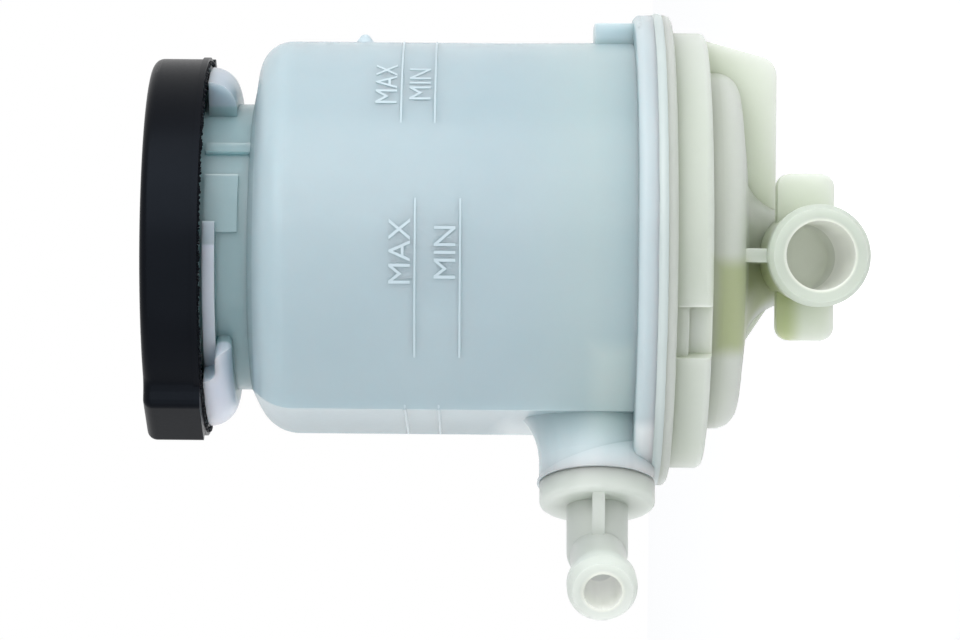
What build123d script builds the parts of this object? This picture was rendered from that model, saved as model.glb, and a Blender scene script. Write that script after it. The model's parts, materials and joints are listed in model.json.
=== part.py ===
from build123d import *
import os
from math import cos, pi, radians, sin, tan

# Tank wall and strap seat. The origin is on the tank axis, half way up the strap seat.
WALL = 2.5
SEAT_RADIUS = 41.1
SEAT_LENGTH = 42.5
TAPER_LENGTH = 24.9
JOIN_RADIUS = 41.4
SHOULDER_ROUND = 6.4
SHOULDER_RISE = 1.2

# Flat side of the tank, turned a little towards the ports
FLAT_DISTANCE = 34.95
FLAT_ANGLE = 188.0
FLAT_CROWN = 8.8

# Filler neck and what is moulded on it
NECK_RADIUS = 28.5
NECK_HEIGHT = 16.1
NECK_EXPOSED = 9.0
EAR_REACH = 7.3
EAR_HEIGHT = 5.5
EAR_SPAN = 79.0
EAR_START = 153.0
EAR_TAIL_HEIGHT = 3.1
EAR_TAIL_LENGTH = 6.4
EAR_TAIL_ROUND = 1.3
EAR_STEP_ROUND = 2.2
LIP_REACH = 2.6
LIP_HEIGHT = 2.4
LIP_SPAN = 59.0
LIP_START = 219.0
PANEL_RISE = 0.8
PANEL_HEIGHT = 6.6
PANEL_SPAN = 23.0
PANEL_START = 274.6
NECK_RIB_WIDTH = 2.2
NECK_RIB_RISE = 1.0
NECK_RIB_ANGLE = 310.0

# Bayonet ramps on the neck, inside the cap's skirt
RAMP_REACH = 3.5
RAMP_SPAN = 70.0
RAMP_TOP_DROP = 0.8
RAMP_LEAD = 16.0
STOP_SPAN = 4.0
STOP_CLEARANCE = 1.0

# Weld flange, band and dome
FLANGE_RADIUS = 46.9
UPPER_FLANGE = 4.3
LOWER_FLANGE = 3.1
FLANGE_ROUND = 1.4
BAND_RADIUS = 43.4
BAND_HEIGHT = 6.9
NOTCH_DEPTH = 2.0
NOTCH_SPAN = 14.0
NOTCH_ANGLE = 247.8
KEY_HEIGHT = 2.4
KEY_RISE = 1.2
DOME_RADIUS = 35.5
DOME_SIDE = 2.4
DOME_ROUND = 4.5
DOME_FACE_RADIUS = 22.0
DOME_FACE_DROP = 1.1
HORN_ROUND = 10.0
FLANGE_TAB_REACH = 3.5
FLANGE_TAB_WIDTH = 14.0
FLANGE_TAB_HEIGHT = 7.6

# Suction elbow
SUCTION_DROP = 18.7
SUCTION_REACH = 36.0
SUCTION_TILT = 3.3
SUCTION_OFFSET = 1.3
SUCTION_BORE = 13.3
SUCTION_BARREL = 17.5
SUCTION_BEAD = 19.7
SUCTION_LAND = 3.0
STEM_RADIUS = 9.0
WING_WIDTH = 32.8
WING_HEIGHT = 11.2
WING_THICKNESS = 4.0
WING_PLACE = 11.0
WING_CORNER = 2.7
RIB_WIDTH = 2.6
FIN_WIDTH = 3.2
FIN_DEPTH = 14.6
FIN_SLOPE = 4.0
FIN_CORNER = 4.0
FIN_SHORT_SIDE = 20.6

# Return boss and nozzle
RETURN_ANGLE = 200.0
RETURN_RISE = 6.7
BOSS_RADIUS = 11.4
BOSS_STANDOFF = 2.1
BOSS_NECK = 4.3
BOSS_FLARE_RADIUS = 19.5
BOSS_FLARE_LENGTH = 13.6
GUSSET_RISE = 0.4
GUSSET_DEPTH = 5.7
GUSSET_SLOPE = 16.0
COLLAR_RADIUS = 11.3
COLLAR_LENGTH = 4.9
COLLAR_ROUND = 1.2
NOZZLE_NECK = 12.0
NOZZLE_RISE = 8.9
NOZZLE_REACH = 19.7
NOZZLE_ANGLE = 250.5
NOZZLE_TILT = 1.7
NOZZLE_BARREL = 10.9
NOZZLE_BEAD = 13.5
NOZZLE_LAND = 2.5
NOZZLE_BORE = 7.25
NOZZLE_RIB_WIDTH = 2.4
BEAD_LEAD = 0.6
CHUTE_WIDTH = 15.0
CHUTE_DEPTH = 8.0
CHUTE_RISE = 6.0
CHUTE_WALL = 1.8

# Cap
CAP_GAP = 0.5
SKIRT_GAP = 2.9
SKIRT_WALL = 2.5
CAP_TOP = 2.2
CAP_ROUND = 2.0
CAP_DISH_DEPTH = 0.7
CAP_DISH_RADIUS = 27.0
CAP_BEAD_RISE = 0.35
CAP_BEAD_HEIGHT = 1.2
LUG_REACH = 2.6
LUG_WIDTH = 15.2
LUG_DRAFT = 22.0
LUG_CORNER = 1.8
LUG_FOOT_ROUND = 2.6
LUG_ANGLE = 209.0
HOOK_SPAN = 30.0
HOOK_HEIGHT = 1.8
HOOK_LIFT = 0.4
HOOK_CLEARANCE = 0.5
RUN_CLEARANCE = 0.3
GASKET_THICKNESS = 1.8
GASKET_LIP = 0.4
PLUG_CLEARANCE = 0.4
PLUG_WALL = 1.5
PLUG_DEPTH = 6.0
DISC_THICKNESS = 1.5
PEG_RADIUS = 3.0
PEG_CLEARANCE = 0.1
SOCKET_WALL = 1.6
SOCKET_DEPTH = 3.0
VENT_NOTCH = 1.5
VENT_COUNT = 4

# Strainer
STRAINER_CLEARANCE = 0.3
STRAINER_FRAME = 2.0
STRAINER_RIM = 2.6
STRAINER_RIM_RISE = 1.0
STRAINER_BORE = 30.5
SPOKE_WIDTH = 3.0
SPOKE_COUNT = 4
HUB_RADIUS = 6.0
MESH_THICKNESS = 0.6
MESH_HOLE = 4.2
MESH_PITCH = 7.5

# Levels along the tank axis
Z_SEAT_TOP = SEAT_LENGTH / 2
Z_SEAT_BOTTOM = -SEAT_LENGTH / 2
Z_SHOULDER = Z_SEAT_TOP + SHOULDER_ROUND
Z_NECK_FOOT = Z_SHOULDER + SHOULDER_RISE
Z_RIM = Z_NECK_FOOT + NECK_HEIGHT
Z_FLANGE_TOP = Z_SEAT_BOTTOM - TAPER_LENGTH
Z_WELD = Z_FLANGE_TOP - UPPER_FLANGE
Z_BAND_TOP = Z_WELD - LOWER_FLANGE
Z_BAND_BOTTOM = Z_BAND_TOP - BAND_HEIGHT
Z_LEDGE = Z_BAND_BOTTOM + WALL
Z_DOME_ROUND = Z_BAND_BOTTOM - DOME_SIDE
Z_DOME_FACE = Z_DOME_ROUND - DOME_ROUND
Z_ELBOW = Z_BAND_BOTTOM - SUCTION_DROP
Z_RETURN = Z_FLANGE_TOP + RETURN_RISE

# Levels and radii of the cap and its bayonet
Z_CEILING = Z_RIM + GASKET_THICKNESS
Z_CAP_TOP = Z_CEILING + CAP_TOP
RAMP_RADIUS = NECK_RADIUS + RAMP_REACH
SKIRT_RADIUS = RAMP_RADIUS + SKIRT_GAP
CAP_RADIUS = SKIRT_RADIUS + SKIRT_WALL
RAMP_SLOPE = RAMP_LEAD / (2 * pi)
Z_RAMP_TOP = Z_RIM - RAMP_TOP_DROP
Z_SKIRT = Z_NECK_FOOT + NECK_EXPOSED
Z_EAR_TOP = Z_SKIRT - CAP_GAP
Z_HOOK = Z_SKIRT + HOOK_LIFT
Z_HOOK_TOP = Z_HOOK + HOOK_HEIGHT
Z_RAMP_UNDER = Z_HOOK_TOP + RUN_CLEARANCE
PLUG_RADIUS = NECK_RADIUS - WALL - PLUG_CLEARANCE
SUCTION_LENGTH = SUCTION_REACH / cos(radians(SUCTION_TILT))

UP = (Align.CENTER, Align.CENTER, Align.MIN)
FAR = 4 * FLANGE_RADIUS


def direction(angle):
    """Level unit vector at an angle about the tank axis, counted from +X towards +Y."""
    return Vector(cos(radians(angle)), sin(radians(angle)), 0)


def upright_plane(angle, z=0):
    """Plane through the tank axis with its x axis at an angle and its y axis up."""
    outward = direction(angle)
    return Plane(origin=(0, 0, z), x_dir=outward, z_dir=outward.cross(Vector(0, 0, 1)))


def turned(*edges):
    """Solid turned about Z from a closed outline of radius and height."""
    return revolve(Plane.XZ * make_face(edges), axis=Axis.Z)


def ring(inner, outer, z_low, z_high):
    """Plain ring between two radii and two heights."""
    height = z_high - z_low
    body = Pos(0, 0, z_low) * Cylinder(outer, height, align=UP)
    return body - Pos(0, 0, z_low) * Cylinder(inner, height, align=UP)


def sector(outline, start, span):
    """Part of a turned ring that starts at an angle and spans an angle."""
    return Rot(0, 0, start) * revolve(Plane.XZ * make_face(outline), axis=Axis.Z, revolution_arc=span)


def ring_sector(inner, outer, z_low, z_high, start, span):
    """Part of a plain ring."""
    outline = Polyline((inner, z_low), (outer, z_low), (outer, z_high), (inner, z_high), close=True)
    return sector(outline, start, span)


def ramp_plane(angle, height):
    """Plane that follows the cap's screw motion near an angle."""
    along = direction(angle + 90)
    rise = RAMP_SLOPE / NECK_RADIUS
    return Plane(origin=(0, 0, height), z_dir=(-along.X * rise, -along.Y * rise, 1))


def tank_form(inset):
    """Tank without neck or flange, made smaller by a wall: a turned form with a flat side."""
    seat = SEAT_RADIUS - inset
    join = JOIN_RADIUS - inset
    round_radius = SHOULDER_ROUND - inset
    neck = NECK_RADIUS - inset
    z_shoulder = Z_SHOULDER - inset
    z_foot = Z_NECK_FOOT - inset
    side = Polyline((0, z_foot), (0, Z_WELD), (join, Z_WELD), (join, Z_FLANGE_TOP), (seat, Z_SEAT_BOTTOM),
                    (seat, Z_SEAT_TOP))
    rounding = TangentArc((seat, Z_SEAT_TOP), (seat - round_radius, z_shoulder), tangent=(0, 1))
    top = Polyline((seat - round_radius, z_shoulder), (neck, z_foot), (0, z_foot))
    return turned(side, rounding, top) - flat_cutter(inset, neck, z_foot)


def flat_cutter(inset, neck, z_foot):
    """What the flat side takes off the turned tank, with a crown that runs up to the neck."""
    flat = FLAT_DISTANCE - inset
    z_crown = Z_NECK_FOOT - FLAT_CROWN
    crown = TangentArc((flat, z_crown), (neck, z_foot), tangent=(0, 1))
    outside = Polyline((neck, z_foot), (FAR, z_foot), (FAR, Z_WELD), (flat, Z_WELD), (flat, z_crown))
    return extrude(upright_plane(FLAT_ANGLE) * make_face([crown, outside]), FAR / 2, both=True)


def opposite(part):
    """The part and its copy half a turn round the tank axis."""
    return part + Rot(0, 0, 180) * part


def ear_front(z_ear):
    """Front view of an ear, drawn out along its end: full height, then a step down to a low tail."""
    end = EAR_START + EAR_SPAN
    tip = NECK_RADIUS + EAR_REACH
    z_tail = z_ear + EAR_TAIL_HEIGHT
    tail = EAR_TAIL_LENGTH
    outline = Polyline((-2 * tip, z_ear), (0, z_ear), (0, z_tail), (-tail, z_tail), (-tail, Z_EAR_TOP),
                       (-2 * tip, Z_EAR_TOP), close=True)
    view = make_face(outline)
    corners = view.vertices().sort_by(Axis.X)
    view = fillet(corners[-2:], EAR_TAIL_ROUND)
    step = view.vertices().filter_by_position(Axis.X, -tail, -tail).sort_by(Axis.Y)[0]
    view = fillet(step, EAR_STEP_ROUND)
    plane = Plane(origin=(0, 0, 0), x_dir=direction(end + 90), z_dir=direction(end))
    return extrude(plane * view, tip)


def neck_details():
    """Ears, lips, panel and rib on the outside of the filler neck, below the cap."""
    root = NECK_RADIUS - WALL / 2
    tip = NECK_RADIUS + EAR_REACH
    flat_end = tip - EAR_HEIGHT
    z_ear = Z_EAR_TOP - EAR_HEIGHT
    ear_sides = Polyline((flat_end, z_ear), (root, z_ear), (root, Z_EAR_TOP), (tip, Z_EAR_TOP))
    ear_belly = TangentArc((tip, Z_EAR_TOP), (flat_end, z_ear), tangent=(0, -1))
    ear = sector([ear_sides, ear_belly], EAR_START, EAR_SPAN)
    ears = opposite(ear & ear_front(z_ear))
    lip_radius = NECK_RADIUS + LIP_REACH
    lips = opposite(ring_sector(root, lip_radius, Z_EAR_TOP - LIP_HEIGHT, Z_EAR_TOP, LIP_START, LIP_SPAN))
    panel_radius = NECK_RADIUS + PANEL_RISE
    panel = ring_sector(root, panel_radius, Z_EAR_TOP - PANEL_HEIGHT, Z_EAR_TOP, PANEL_START, PANEL_SPAN)
    rib_depth = WALL / 2 + NECK_RIB_RISE
    rib = Box(rib_depth, NECK_RIB_WIDTH, Z_EAR_TOP - Z_SHOULDER, align=(Align.MIN, Align.CENTER, Align.MIN))
    rib = Rot(0, 0, NECK_RIB_ANGLE) * Pos(root, 0, Z_SHOULDER) * rib
    return ears + lips + panel + rib


def bayonet_ramps():
    """Two ramps whose undersides follow the cap's screw motion, each with a stop at its closed end."""
    root = NECK_RADIUS - WALL / 2
    start = LUG_ANGLE - HOOK_SPAN / 2 - STOP_CLEARANCE
    middle = start + RAMP_SPAN / 2
    z_middle = Z_RAMP_UNDER + RAMP_LEAD * (middle - LUG_ANGLE) / 360
    ramp = ring_sector(root, RAMP_RADIUS, Z_HOOK, Z_RAMP_TOP, start, RAMP_SPAN)
    ramp = split(ramp, bisect_by=ramp_plane(middle, z_middle), keep=Keep.TOP)
    stop = ring_sector(root, RAMP_RADIUS, Z_HOOK, Z_RAMP_TOP, start - STOP_SPAN, STOP_SPAN)
    return opposite(ramp + stop)


def return_frame():
    """Plane across the return axis, with its normal outwards along that axis."""
    return Plane(origin=(0, 0, Z_RETURN), x_dir=(0, 0, 1), z_dir=direction(RETURN_ANGLE))


BOSS_END = FLANGE_RADIUS + BOSS_STANDOFF
COLLAR_END = BOSS_END + COLLAR_LENGTH
NOZZLE_CENTRE = COLLAR_END + NOZZLE_RISE


def return_boss():
    """Flared boss on the flat side that carries the return nozzle."""
    z_neck = BOSS_END - BOSS_NECK
    z_root = z_neck - BOSS_FLARE_LENGTH
    flare = TangentArc((BOSS_RADIUS, z_neck), (BOSS_FLARE_RADIUS, z_root), tangent=(0, -1))
    rest = Polyline((BOSS_FLARE_RADIUS, z_root), (0, z_root), (0, BOSS_END), (BOSS_RADIUS, BOSS_END),
                    (BOSS_RADIUS, z_neck))
    boss = return_frame() * (turned(flare, rest) + boss_gusset())
    return split(boss, bisect_by=Plane.XY.offset(Z_WELD), keep=Keep.TOP)


def boss_gusset():
    """Raised pad round the end of the boss, deepest where it runs into the flange."""
    pad = Cylinder(BOSS_RADIUS + GUSSET_RISE, BOSS_FLARE_LENGTH, align=UP)
    pad = Pos(0, 0, BOSS_END - BOSS_FLARE_LENGTH) * pad
    slope = radians(GUSSET_SLOPE)
    edge = Plane(origin=(-RETURN_RISE, 0, BOSS_END - GUSSET_DEPTH), z_dir=(-sin(slope), 0, cos(slope)))
    return split(pad, bisect_by=edge, keep=Keep.TOP)


def return_chute():
    """Hood inside the flat side that turns the returning fluid down, open at its lower end."""
    inner_face = FLAT_DISTANCE - WALL
    height = Z_RETURN + NOZZLE_BORE / 2 + CHUTE_RISE - Z_WELD
    block = Box(CHUTE_DEPTH + WALL / 2, CHUTE_WIDTH, height, align=(Align.MIN, Align.CENTER, Align.MIN))
    hollow_width = CHUTE_WIDTH - 2 * CHUTE_WALL
    hollow = Box(CHUTE_DEPTH - CHUTE_WALL, hollow_width, height - CHUTE_WALL,
                 align=(Align.MIN, Align.CENTER, Align.MIN))
    near = inner_face - CHUTE_DEPTH
    place = Rot(0, 0, RETURN_ANGLE) * Pos(0, 0, Z_WELD)
    chute = place * Pos(near, 0, 0) * block - place * Pos(near + CHUTE_WALL, 0, 0) * hollow
    return chute & tank_form(WALL / 2)


def make_upper_body():
    flange = Pos(0, 0, Z_WELD) * Cylinder(FLANGE_RADIUS, UPPER_FLANGE, align=UP)
    flange = fillet(flange.edges().group_by(Axis.Z)[-1], FLANGE_ROUND)
    tab_reach = JOIN_RADIUS + FLANGE_TAB_REACH
    tab = Box(tab_reach - NECK_RADIUS, FLANGE_TAB_WIDTH, FLANGE_TAB_HEIGHT,
              align=(Align.MIN, Align.CENTER, Align.MIN))
    tab = Pos(NECK_RADIUS, 0, Z_FLANGE_TOP) * tab
    neck = Pos(0, 0, Z_SHOULDER) * Cylinder(NECK_RADIUS, Z_RIM - Z_SHOULDER, align=UP)
    outside = tank_form(0) + flange + tab + return_boss() + neck
    cavity = tank_form(WALL)
    neck_bore = Pos(0, 0, Z_SEAT_TOP) * Cylinder(NECK_RADIUS - WALL, Z_RIM - Z_SEAT_TOP, align=UP)
    body = outside - cavity - neck_bore + neck_details() + bayonet_ramps() - neck_bore
    body = body + return_chute()
    bore_start = FLAT_DISTANCE - WALL - CHUTE_DEPTH + CHUTE_WALL
    bore = Pos(0, 0, bore_start) * Cylinder(NOZZLE_BORE / 2, BOSS_END - bore_start, align=UP)
    return body - return_frame() * bore


def hose_barrel(barrel, bead, land, reach):
    """Hose barrel along Z from its foot to its mouth, with a bead of cylindrical land near the mouth."""
    rise = (bead - barrel) / 2
    lead = rise + BEAD_LEAD
    outline = Polyline((0, 0), (barrel / 2, 0), (barrel / 2, reach - lead - land - rise),
                       (bead / 2, reach - lead - land), (bead / 2, reach - lead),
                       (bead / 2 - lead / 2, reach), (0, reach), close=True)
    return turned(outline)


def dome_form(inset):
    """Dome below the band, or its inside when made smaller by a wall."""
    side = DOME_RADIUS - inset
    rounding = DOME_ROUND - inset
    z_face = Z_DOME_FACE + inset
    z_horn = z_face - DOME_FACE_DROP
    corner = TangentArc((side, Z_DOME_ROUND), (side - rounding, z_face), tangent=(0, -1))
    rest = Polyline((side - rounding, z_face), (DOME_FACE_RADIUS, z_horn), (0, z_horn), (0, Z_BAND_BOTTOM),
                    (side, Z_BAND_BOTTOM), (side, Z_DOME_ROUND))
    return turned(corner, rest)


def horn_form(inset):
    """Stem of the suction elbow with a wide round where it leaves the dome, or the passage inside it."""
    stem = SUCTION_BORE / 2 if inset else STEM_RADIUS
    arc = HORN_ROUND + inset
    z_horn = Z_DOME_FACE + inset - DOME_FACE_DROP
    z_top = z_horn + WALL / 2
    flare = TangentArc((stem, z_horn - arc), (stem + arc, z_horn), tangent=(0, 1))
    rest = Polyline((stem + arc, z_horn), (stem + arc, z_top), (0, z_top), (0, Z_ELBOW), (stem, Z_ELBOW),
                    (stem, z_horn - arc))
    return Pos(-SUCTION_OFFSET, 0, 0) * turned(flare, rest)


def suction_frame():
    """Plane across the suction barrel at the elbow, with its normal towards the mouth."""
    tilt = radians(SUCTION_TILT)
    return Plane(origin=(-SUCTION_OFFSET, 0, Z_ELBOW), x_dir=(1, 0, 0), z_dir=(0, -cos(tilt), -sin(tilt)))


def elbow_fin():
    """Flat fin in the tank's middle plane, from the band down to the elbow."""
    z_tip = Z_BAND_BOTTOM - FIN_DEPTH
    reach = BAND_RADIUS - FLANGE_ROUND
    long_side = Polyline((0, Z_BAND_TOP), (reach, Z_BAND_TOP), (reach, Z_BAND_BOTTOM),
                         (reach - FIN_SLOPE, z_tip), (0, z_tip), close=True)
    short_side = Polyline((0, Z_BAND_TOP), (-DOME_RADIUS, Z_BAND_TOP), (-FIN_SHORT_SIDE, Z_DOME_FACE),
                          (-STEM_RADIUS, z_tip), (0, z_tip), close=True)
    fin = extrude(Plane.XZ * make_face(long_side), FIN_WIDTH / 2, both=True)
    fin = fillet(fin.edges().filter_by(Axis.Y).group_by(Axis.X)[-2].sort_by(Axis.Z)[0], FIN_CORNER)
    return fin + extrude(Plane.XZ * make_face(short_side), FIN_WIDTH / 2, both=True)


def elbow_rib():
    """Thin rib on the port side, from the band to the suction barrel."""
    foot = DOME_RADIUS - 2 * RIB_WIDTH
    barrel_top = Z_ELBOW + SUCTION_BARREL / 2 - foot * tan(radians(SUCTION_TILT))
    outline = Polyline((0, Z_BAND_BOTTOM), (DOME_RADIUS, Z_BAND_BOTTOM), (foot, barrel_top), (0, Z_ELBOW),
                       close=True)
    rib = extrude(upright_plane(270) * make_face(outline), RIB_WIDTH / 2, both=True)
    return Pos(-SUCTION_OFFSET, 0, 0) * rib


def make_lower_body():
    flange = Pos(0, 0, Z_BAND_TOP) * Cylinder(FLANGE_RADIUS, LOWER_FLANGE, align=UP)
    flange = fillet(flange.edges().group_by(Axis.Z)[0], FLANGE_ROUND)
    band = Pos(0, 0, Z_BAND_BOTTOM) * Cylinder(BAND_RADIUS, BAND_HEIGHT, align=UP)
    band = fillet(band.edges().group_by(Axis.Z)[0], FLANGE_ROUND)
    notch_floor = BAND_RADIUS - NOTCH_DEPTH
    notch_start = NOTCH_ANGLE - NOTCH_SPAN / 2
    notch = ring_sector(notch_floor, FLANGE_RADIUS, Z_BAND_BOTTOM, Z_BAND_TOP, notch_start, NOTCH_SPAN)
    key = ring_sector(notch_floor - WALL / 2, notch_floor + KEY_RISE, Z_BAND_TOP - KEY_HEIGHT, Z_BAND_TOP,
                      notch_start, NOTCH_SPAN)
    barrel = hose_barrel(SUCTION_BARREL, SUCTION_BEAD, SUCTION_LAND, SUCTION_LENGTH)
    wing = extrude(RectangleRounded(WING_WIDTH, WING_HEIGHT, WING_CORNER), WING_THICKNESS)
    elbow = Pos(-SUCTION_OFFSET, 0, Z_ELBOW)
    ball = elbow * Sphere(STEM_RADIUS)
    outside = flange + (band - notch) + key + dome_form(0) + horn_form(0) + elbow_fin() + elbow_rib()
    outside = outside + ball + suction_frame() * barrel + suction_frame() * Pos(0, 0, WING_PLACE) * wing
    cup = Pos(0, 0, Z_LEDGE) * Cylinder(JOIN_RADIUS - WALL, Z_WELD - Z_LEDGE, align=UP)
    well = Pos(0, 0, Z_BAND_BOTTOM) * Cylinder(DOME_RADIUS - WALL, Z_LEDGE - Z_BAND_BOTTOM, align=UP)
    bore = suction_frame() * Cylinder(SUCTION_BORE / 2, SUCTION_LENGTH, align=UP)
    bore_end = elbow * Sphere(SUCTION_BORE / 2)
    return outside - cup - well - dome_form(WALL) - horn_form(WALL) - bore - bore_end


def make_return_nozzle():
    frame = return_frame()
    collar = Pos(0, 0, BOSS_END) * Cylinder(COLLAR_RADIUS, COLLAR_LENGTH, align=UP)
    collar = fillet(collar.edges().group_by(Axis.Z)[-1], COLLAR_ROUND)
    neck = Pos(0, 0, BOSS_END) * Cylinder(NOZZLE_NECK / 2, NOZZLE_CENTRE - BOSS_END, align=UP)
    centre = direction(RETURN_ANGLE) * NOZZLE_CENTRE + Vector(0, 0, Z_RETURN)
    mouth_direction = direction(NOZZLE_ANGLE) - Vector(0, 0, tan(radians(NOZZLE_TILT)))
    mouth_frame = Plane(origin=centre, z_dir=mouth_direction)
    barrel = hose_barrel(NOZZLE_BARREL, NOZZLE_BEAD, NOZZLE_LAND, NOZZLE_REACH)
    ball = Pos(*centre) * Sphere(NOZZLE_NECK / 2)
    rib_outline = Polyline((0, BOSS_END), (COLLAR_RADIUS - COLLAR_ROUND, COLLAR_END - COLLAR_ROUND),
                           (COLLAR_RADIUS - COLLAR_ROUND, COLLAR_END), (NOZZLE_NECK / 2, NOZZLE_CENTRE),
                           (0, NOZZLE_CENTRE), close=True)
    rib = Rot(0, 0, -90) * extrude(Plane.XZ * make_face(rib_outline), NOZZLE_RIB_WIDTH / 2, both=True)
    body = frame * (collar + neck + rib) + ball + mouth_frame * barrel
    inlet = Pos(0, 0, BOSS_END) * Cylinder(NOZZLE_BORE / 2, NOZZLE_CENTRE - BOSS_END, align=UP)
    outlet = Cylinder(NOZZLE_BORE / 2, NOZZLE_REACH, align=UP)
    return body - frame * inlet - mouth_frame * outlet - Pos(*centre) * Sphere(NOZZLE_BORE / 2)


def cap_plan():
    """Plan of the cap: a disc with two grip lugs that run into it with wide rounds."""
    reach = CAP_RADIUS + LUG_REACH
    tip = LUG_WIDTH / 2
    foot = tip + reach * tan(radians(LUG_DRAFT))
    lug = make_face(Polyline((0, -foot), (reach, -tip), (reach, tip), (0, foot), close=True))
    plan = Circle(CAP_RADIUS) + lug + Rot(0, 0, 180) * lug
    feet = [corner for corner in plan.vertices() if corner.Y ** 2 > tip ** 2 + LUG_CORNER]
    plan = fillet(feet, LUG_FOOT_ROUND)
    tips = [corner for corner in plan.vertices() if abs(corner.X) > reach - LUG_REACH / 4]
    return Rot(0, 0, LUG_ANGLE) * fillet(tips, LUG_CORNER)


def make_cap_shell():
    disc = Pos(0, 0, Z_SKIRT) * extrude(cap_plan(), Z_CAP_TOP - Z_SKIRT)
    disc = fillet(disc.edges().group_by(Axis.Z)[-1], CAP_ROUND)
    bead_radius = CAP_RADIUS + CAP_BEAD_RISE
    body = disc + Pos(0, 0, Z_SKIRT) * Cylinder(bead_radius, CAP_BEAD_HEIGHT, align=UP)
    inside = Pos(0, 0, Z_SKIRT) * Cylinder(SKIRT_RADIUS, Z_CEILING - Z_SKIRT, align=UP)
    dish = Pos(0, 0, Z_CAP_TOP - CAP_DISH_DEPTH) * Cylinder(CAP_DISH_RADIUS, CAP_DISH_DEPTH, align=UP)
    plug = ring(PLUG_RADIUS - PLUG_WALL, PLUG_RADIUS, Z_CEILING - PLUG_DEPTH, Z_CEILING)
    socket = ring(PEG_RADIUS, PEG_RADIUS + SOCKET_WALL, Z_CEILING - SOCKET_DEPTH, Z_CEILING)
    hook = ring_sector(NECK_RADIUS + HOOK_CLEARANCE, SKIRT_RADIUS + SKIRT_WALL / 2, Z_HOOK, Z_CEILING,
                       LUG_ANGLE - HOOK_SPAN / 2, HOOK_SPAN)
    hook = split(hook, bisect_by=ramp_plane(LUG_ANGLE, Z_HOOK_TOP), keep=Keep.BOTTOM)
    return body - inside - dish + plug + socket + opposite(hook)


def make_cap_gasket():
    return ring(PLUG_RADIUS, NECK_RADIUS + GASKET_LIP, Z_RIM, Z_CEILING)


def make_cap_splash_disc():
    z_top = Z_CEILING - PLUG_DEPTH
    disc = Pos(0, 0, z_top - DISC_THICKNESS) * Cylinder(PLUG_RADIUS, DISC_THICKNESS, align=UP)
    notch = Pos(PLUG_RADIUS, 0, z_top - DISC_THICKNESS) * Cylinder(VENT_NOTCH, DISC_THICKNESS, align=UP)
    for i in range(VENT_COUNT):
        disc = disc - Rot(0, 0, i * 360 / VENT_COUNT) * notch
    peg = Pos(0, 0, z_top) * Cylinder(PEG_RADIUS - PEG_CLEARANCE, PLUG_DEPTH, align=UP)
    return disc + peg


def make_strainer_frame():
    outer = JOIN_RADIUS - WALL - STRAINER_CLEARANCE
    base = ring(STRAINER_BORE, outer, Z_LEDGE, Z_LEDGE + STRAINER_FRAME)
    rim = ring(outer - STRAINER_RIM, outer, Z_LEDGE, Z_LEDGE + STRAINER_FRAME + STRAINER_RIM_RISE)
    hub = Pos(0, 0, Z_LEDGE) * Cylinder(HUB_RADIUS, STRAINER_FRAME, align=UP)
    spoke = Box(STRAINER_BORE + STRAINER_RIM / 2, SPOKE_WIDTH, STRAINER_FRAME,
                align=(Align.MIN, Align.CENTER, Align.MIN))
    frame = base + rim + hub
    for i in range(SPOKE_COUNT):
        frame = frame + Rot(0, 0, i * 360 / SPOKE_COUNT) * Pos(0, 0, Z_LEDGE) * spoke
    return frame


def make_strainer_mesh():
    radius = JOIN_RADIUS - WALL - 2 * STRAINER_CLEARANCE - STRAINER_RIM
    count = 2 * int(STRAINER_BORE / MESH_PITCH) + 1
    places = GridLocations(MESH_PITCH, MESH_PITCH, count, count)
    reach = STRAINER_BORE - MESH_HOLE
    inside = [place for place in places if place.position.length < reach]
    holes = Sketch() + [place * Rectangle(MESH_HOLE, MESH_HOLE) for place in inside]
    screen = extrude(Circle(radius) - holes, MESH_THICKNESS)
    return Pos(0, 0, Z_LEDGE + STRAINER_FRAME) * screen


PARTS = {
    "upper_body": make_upper_body,
    "lower_body": make_lower_body,
    "return_nozzle": make_return_nozzle,
    "cap_shell": make_cap_shell,
    "cap_gasket": make_cap_gasket,
    "cap_splash_disc": make_cap_splash_disc,
    "strainer_frame": make_strainer_frame,
    "strainer_mesh": make_strainer_mesh,
}

os.makedirs("parts", exist_ok=True)
for name, make in PARTS.items():
    export_step(make(), f"parts/{name}.step")
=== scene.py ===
import json
from math import cos, pi, radians, sin

import bmesh
import bpy
from mathutils import Matrix, Vector
from mathutils.bvhtree import BVHTree


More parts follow.
